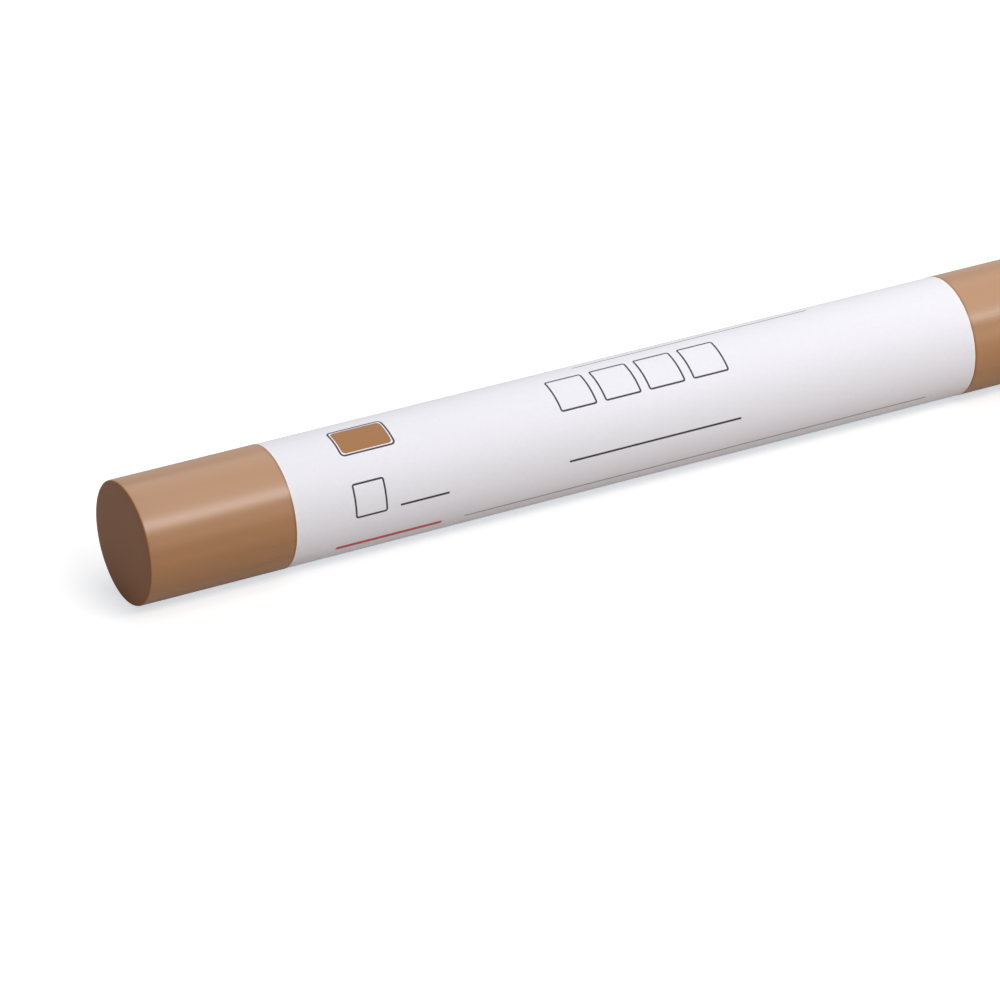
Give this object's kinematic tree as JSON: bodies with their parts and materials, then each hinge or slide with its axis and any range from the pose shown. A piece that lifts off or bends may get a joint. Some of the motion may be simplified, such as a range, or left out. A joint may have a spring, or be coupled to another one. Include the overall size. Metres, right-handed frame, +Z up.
{
  "type": "furniture touch-up marker",
  "caption": "Round furniture touch-up marker with a plain barrel, wrapped paper label, spring valve, felt nib, loose mixing ball and push-on cap.",
  "frame": {"origin": "on the surface that the marker lies on, below the middle of its length", "axes": "+X along the marker from the closed tail to the end of the cap, +Z up; the axis of the marker is 6 mm above the surface"},
  "size_m": [0.14, 0.012, 0.012],
  "materials": {
    "barrel_plastic": "satin moulded brown",
    "label_paper": "smooth white printing paper",
    "ball_steel": "polished ball",
    "spring_steel": "drawn wire",
    "valve_plastic": "moulded natural",
    "seal_rubber": "matt black",
    "holder_plastic": "moulded ivory",
    "nib_felt": "pressed felt stained by the paint",
    "liner_plastic": "soft milky"
  },
  "bodies": {
    "barrel": {"barrel": "barrel_plastic", "label": "label_paper", "nib_holder": "holder_plastic", "valve_cage": "valve_plastic", "valve_spring": "spring_steel", "valve_seal": "seal_rubber"},
    "cap": {"cap": "barrel_plastic", "cap_liner": "liner_plastic"},
    "nib": {"nib": "nib_felt"},
    "valve_stem": {"valve_stem": "valve_plastic"},
    "mixing_ball": {"mixing_ball": "ball_steel"}
  },
  "joints": [
    {"name": "cap_pull", "type": "slide", "parent": "barrel", "child": "cap", "axis": [1, 0, 0], "range_m": [0, 0.04]},
    {"name": "nib_press", "type": "slide", "parent": "barrel", "child": "nib", "axis": [-1, 0, 0], "range_m": [0, 0.002], "stiffness_N_per_m": 1500, "springref_m": -0.001, "deforming": ["valve_spring"]},
    {"name": "valve_open", "type": "slide", "parent": "barrel", "child": "valve_stem", "axis": [-1, 0, 0], "range_m": [0, 0.002]},
    {"name": "ball_roll", "type": "slide", "parent": "barrel", "child": "mixing_ball", "axis": [1, 0, 0], "range_m": [0, 0.0725]}
  ],
  "couplings": [
    {"joint": "valve_open", "follows": "nib_press", "ratio": 1}
  ]
}
